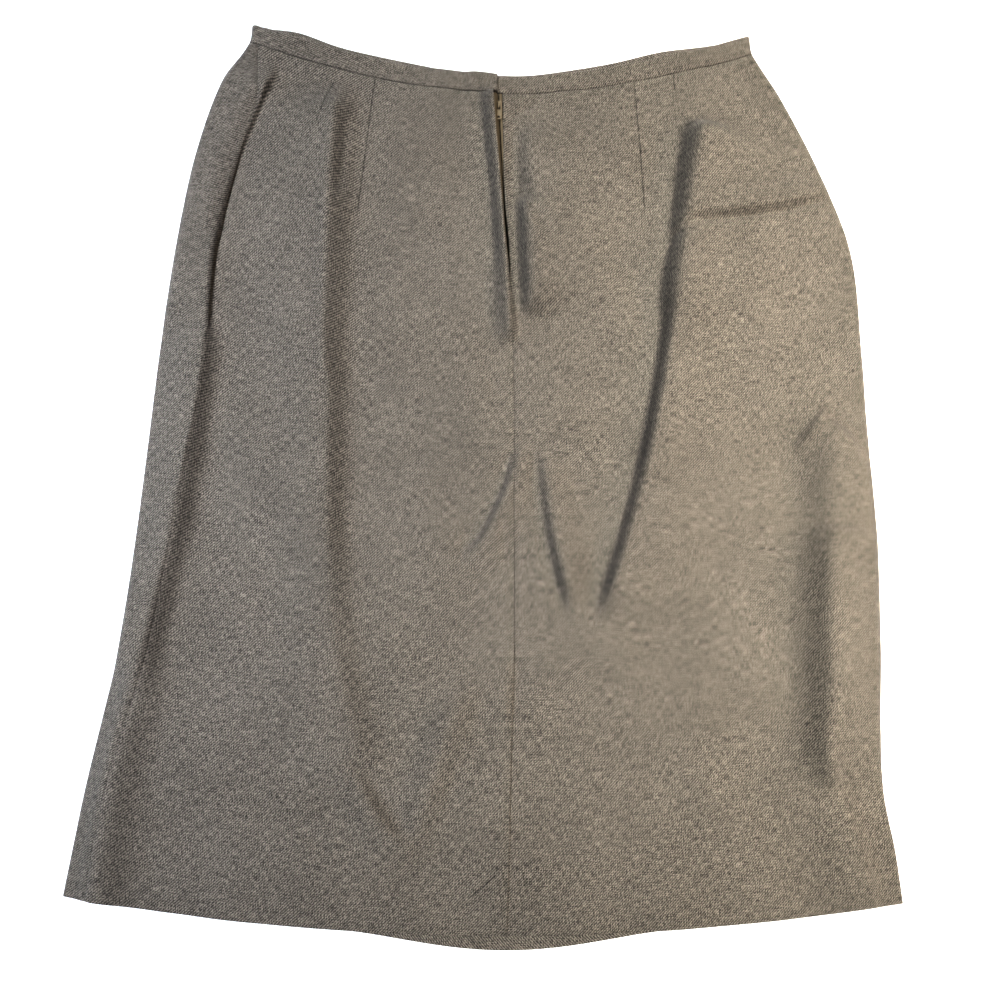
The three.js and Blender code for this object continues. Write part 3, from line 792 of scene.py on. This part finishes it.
def seam_grooves(tree):
    """Thin grooves along a panel's short seams: exp(-(distance / width) ** 2) * fade for
    each, from the distances and fades that its points carry."""
    carried = [add_node(tree, "Attribute", {"attribute_name": name}) for name in SEAM_ATTRIBUTES]
    parts = [add_node(tree, "SeparateXYZ", inputs={0: node.outputs["Vector"]}) for node in carried]
    total = None
    for axis in range(MOST_SEAMS):
        distance, fade = (part.outputs[axis] for part in parts)
        scaled = arithmetic(tree, "DIVIDE", distance, GROOVE_WIDTH * MM)
        square = arithmetic(tree, "MULTIPLY", scaled, scaled)
        bell = arithmetic(tree, "EXPONENT", arithmetic(tree, "MULTIPLY", square, -1.0))
        groove = arithmetic(tree, "MULTIPLY", bell, fade)
        total = groove if total is None else arithmetic(tree, "ADD", total, groove)
    return total


def yarn_colours(tree, tone, settings):
    """Dark, middle and pale fibres, from a tone about 0.5."""
    ramp = add_node(tree, "ValToRGB", inputs={0: tone})
    stops = ramp.color_ramp.elements
    stops[0].position, stops[0].color = DARK_TONE, (*settings.cloth_dark, 1)
    stops[1].position, stops[1].color = LIGHT_TONE, (*settings.cloth_light, 1)
    middle = stops.new(0.5)
    middle.color = (*settings.cloth_mid, 1)
    return ramp.outputs[0]


def melange_twill(settings):
    """Worsted wool-blend twill, woven from yarns that mix pale, taupe and dark fibres.
    Thick and thin yarns give it flecks along both thread directions, and its short nap
    leaves it matt. Its ribs are 1.3 mm apart in life, and are drawn a little coarser."""
    material, tree, shader = new_material("worsted_melange_twill")
    uv = add_node(tree, "TexCoord").outputs["UV"]
    ribs = twill_weave(tree, uv, settings.rib_pitch / MM)
    warp, weft, slub, fleck, cloud = (thread_noise(tree, uv, *yarn) for yarn in TWILL_YARNS)
    seam = seam_grooves(tree)
    tones = zip((ribs, warp, weft, slub, fleck, cloud, seam), TWILL_TONES)
    yarns = yarn_colours(tree, weigh(tree, tones), settings)
    height = weigh(tree, zip((ribs, warp, weft, fleck, seam), TWILL_HEIGHTS))
    bump = add_node(
        tree,
        "Bump",
        inputs={"Strength": 0.5, "Distance": TWILL_RELIEF * MM, "Height": height},
    )
    tree.links.new(yarns, shader.inputs["Base Color"])
    tree.links.new(bump.outputs[0], shader.inputs["Normal"])
    shader.inputs["Roughness"].default_value = 0.95
    shader.inputs["Specular IOR Level"].default_value = 0.15
    shader.inputs["Sheen Weight"].default_value = 0.2
    shader.inputs["Sheen Roughness"].default_value = 0.5
    return material


def woven_tape(settings):
    """Polyester zip tape, woven narrow: fine ribs across it, with a slight sheen."""
    material, tree, shader = new_material("polyester_zip_tape")
    uv = add_node(tree, "TexCoord").outputs["UV"]
    ribs = thread_noise(tree, uv, 6.0, 0.6, 1.3)
    bump = add_node(
        tree,
        "Bump",
        inputs={"Strength": 0.5, "Distance": TAPE_RELIEF * MM, "Height": ribs},
    )
    shader.inputs["Base Color"].default_value = (*settings.tape_colour, 1)
    shader.inputs["Roughness"].default_value = 0.7
    tree.links.new(bump.outputs[0], shader.inputs["Normal"])
    return material


def enamelled_zinc(settings):
    """Die-cast zinc under satin enamel: an even, soft gloss."""
    material, _, shader = new_material("satin_enamelled_zinc")
    shader.inputs["Base Color"].default_value = (*settings.metal_colour, 1)
    shader.inputs["Roughness"].default_value = 0.38
    return material


def plain_board(settings):
    """The studio's painted board: pale and matt."""
    material, _, shader = new_material("matt_painted_board")
    shader.inputs["Base Color"].default_value = (*settings.board_colour, 1)
    shader.inputs["Roughness"].default_value = 0.9
    return material


def shared_material(name, maker, settings):
    """The material of that name, made if it isn't there yet."""
    return bpy.data.materials.get(name) or maker(settings)


# Studio


def area_light(name, place, aim, length, width, spread, power, colour):
    """A soft light at a place in metres, turned to its aim and as long as it says from hem
    to waist. It spreads over an angle in degrees and fades towards the edge of it."""
    light = bpy.data.lights.new(name, "AREA")
    light.shape = "RECTANGLE"
    light.size = length
    light.size_y = width
    light.spread = math.radians(spread)
    light.energy = power
    light.color = colour
    lamp = bpy.data.objects.new(name, light)
    lamp.location = place
    lamp.rotation_euler = (Vector(aim) - Vector(place)).to_track_quat("-Z", "Y").to_euler()
    bpy.context.scene.collection.objects.link(lamp)
    return lamp


def floor_board(settings):
    mesh = bpy.data.meshes.new("floor")
    half = FLOOR_SIZE / 2
    corners = [(x * half, y * half, FLOOR_Z) for x, y in ((-1, -1), (1, -1), (1, 1), (-1, 1))]
    mesh.from_pydata(corners, [], [(0, 1, 2, 3)])
    mesh.materials.append(plain_board(settings))
    floor = bpy.data.objects.new("floor", mesh)
    bpy.context.scene.collection.objects.link(floor)
    return floor


def camera():
    """The photo's camera: nearly overhead, leaning from the hem side."""
    lens = bpy.data.cameras.new("camera")
    lens.sensor_width = SENSOR_WIDTH
    lens.lens = LENS
    lens.clip_start = 0.01
    eye = bpy.data.objects.new("camera", lens)
    tilt = math.radians(90 - CAMERA_ELEVATION)
    back = Vector((0, -math.sin(tilt), math.cos(tilt)))
    eye.location = Vector(CAMERA_AIM) + back * CAMERA_DISTANCE
    eye.rotation_euler = (tilt, 0, 0)
    bpy.context.scene.collection.objects.link(eye)
    bpy.context.scene.camera = eye
    return eye


def ambient(colour, strength):
    """Even light from all round."""
    world = bpy.data.worlds.new("studio")
    world.use_nodes = True
    background = world.node_tree.nodes["Background"]
    background.inputs["Color"].default_value = (*colour, 1)
    background.inputs["Strength"].default_value = strength
    bpy.context.scene.world = world


# The add-on


class SkirtSettings(bpy.types.PropertyGroup):
    """Sizes and colours of the skirt and its studio."""

    cloth_thickness: bpy.props.FloatProperty(
        name="Cloth thickness",
        description="Thickness of the twill",
        default=CLOTH * MM,
        min=0.0005,
        max=0.003,
        precision=4,
        unit="LENGTH",
    )
    rib_pitch: bpy.props.FloatProperty(
        name="Rib pitch",
        description="Distance between the twill's diagonal ribs",
        default=0.0015,
        min=0.0005,
        max=0.005,
        precision=4,
        unit="LENGTH",
    )
    cloth_dark: bpy.props.FloatVectorProperty(
        name="Dark yarn",
        description="Colour of the darkest fibres",
        subtype="COLOR",
        min=0,
        max=1,
        default=linear("#2A2825"),
    )
    cloth_mid: bpy.props.FloatVectorProperty(
        name="Middle yarn",
        description="Colour of most of the fibres",
        subtype="COLOR",
        min=0,
        max=1,
        default=linear("#625E58"),
    )
    cloth_light: bpy.props.FloatVectorProperty(
        name="Light yarn",
        description="Colour of the palest fibres",
        subtype="COLOR",
        min=0,
        max=1,
        default=linear("#A19A90"),
    )
    tape_colour: bpy.props.FloatVectorProperty(
        name="Zip tape",
        description="Colour of the zip's tapes",
        subtype="COLOR",
        min=0,
        max=1,
        default=linear("#766C5B"),
    )
    metal_colour: bpy.props.FloatVectorProperty(
        name="Zip slider",
        description="Colour of the slider's enamel",
        subtype="COLOR",
        min=0,
        max=1,
        default=linear("#857B6A"),
    )
    board_colour: bpy.props.FloatVectorProperty(
        name="Floor",
        description="Colour of the board that the skirt lies on",
        subtype="COLOR",
        min=0,
        max=1,
        default=linear("#FAFAFA"),
    )
    light_strength: bpy.props.FloatProperty(
        name="Light strength",
        description="Multiplies the power of every light",
        default=1.0,
        min=0.0,
        max=10.0,
        subtype="FACTOR",
    )


def place_cloth(piece, node):
    """Puts a piece of the skirt's cloth in the place of its solid."""
    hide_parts(node)
    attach(piece, "skirt")


class SKIRT_OT_front_panel(bpy.types.Operator):
    """Makes the front panel, which lies on the floor and folds over at the left"""

    bl_idname = "skirt.front_panel"
    bl_label = "Front panel"

    def execute(self, context):
        settings = context.scene.skirt
        twill = shared_material("worsted_melange_twill", melange_twill, settings)
        place_cloth(front_panel(twill, settings.cloth_thickness / MM), "front_panel")
        return {"FINISHED"}


class SKIRT_OT_back_panels(bpy.types.Operator):
    """Makes the two back panels, with their darts, centre-back seam and vent"""

    bl_idname = "skirt.back_panels"
    bl_label = "Back panels"

    def execute(self, context):
        settings = context.scene.skirt
        twill = shared_material("worsted_melange_twill", melange_twill, settings)
        thickness = settings.cloth_thickness / MM
        place_cloth(back_left_panel(twill, thickness), "back_left_panel")
        place_cloth(back_right_panel(twill, thickness), "back_right_panel")
        return {"FINISHED"}


class SKIRT_OT_waistband(bpy.types.Operator):
    """Makes the waistband, whose left end laps over its right end"""

    bl_idname = "skirt.waistband"
    bl_label = "Waistband"

    def execute(self, context):
        twill = shared_material("worsted_melange_twill", melange_twill, context.scene.skirt)
        place_cloth(waistband(twill), "waistband")
        return {"FINISHED"}


class SKIRT_OT_zip(bpy.types.Operator):
    """Makes the zip's tapes and finishes its slider and pull tab"""

    bl_idname = "skirt.zip"
    bl_label = "Zip"

    def execute(self, context):
        settings = context.scene.skirt
        tapes = zip_tapes(woven_tape(settings))
        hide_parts("zip_tape")
        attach(tapes, "skirt")
        enamel = enamelled_zinc(settings)
        for node in ("zip_slider", "zip_pull_tab"):
            finish_casting(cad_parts[node], enamel)
        return {"FINISHED"}


class SKIRT_OT_studio(bpy.types.Operator):
    """Makes the floor, the lights and the camera"""

    bl_idname = "skirt.studio"
    bl_label = "Studio"

    def execute(self, context):
        settings = context.scene.skirt
        lights = [
            area_light(name, place, aim, *shape, power * settings.light_strength, linear(colour))
            for name, place, aim, *shape, power, colour in LIGHTS
        ]
        ambient(linear(AMBIENT_COLOUR), AMBIENT_STRENGTH * settings.light_strength)
        floor_board(settings)
        camera()
        context.scene.view_settings.view_transform = "Standard"
        context.scene.view_settings.look = "None"
        context.scene.view_settings.gamma = CONTRAST_GAMMA
        return {"FINISHED"}


class SKIRT_PT_panel(bpy.types.Panel):
    """Lists the skirt's settings and pieces"""

    bl_idname = "SKIRT_PT_panel"
    bl_label = "Pencil Skirt"
    bl_space_type = "VIEW_3D"
    bl_region_type = "UI"
    bl_category = "Skirt"

    def draw(self, context):
        for name in SkirtSettings.__annotations__:
            self.layout.prop(context.scene.skirt, name)
        for operator in OPERATORS:
            self.layout.operator(operator.bl_idname)


OPERATORS = (
    SKIRT_OT_front_panel,
    SKIRT_OT_back_panels,
    SKIRT_OT_waistband,
    SKIRT_OT_zip,
    SKIRT_OT_studio,
)
CLASSES = (SkirtSettings, *OPERATORS, SKIRT_PT_panel)


def register():
    for cls in CLASSES:
        bpy.utils.register_class(cls)
    bpy.types.Scene.skirt = bpy.props.PointerProperty(type=SkirtSettings)


def unregister():
    del bpy.types.Scene.skirt
    for cls in reversed(CLASSES):
        bpy.utils.unregister_class(cls)


def main():
    register()
    bpy.ops.skirt.front_panel()
    bpy.ops.skirt.back_panels()
    bpy.ops.skirt.waistband()
    bpy.ops.skirt.zip()
    bpy.ops.skirt.studio()


if __name__ == "__main__":
    main()
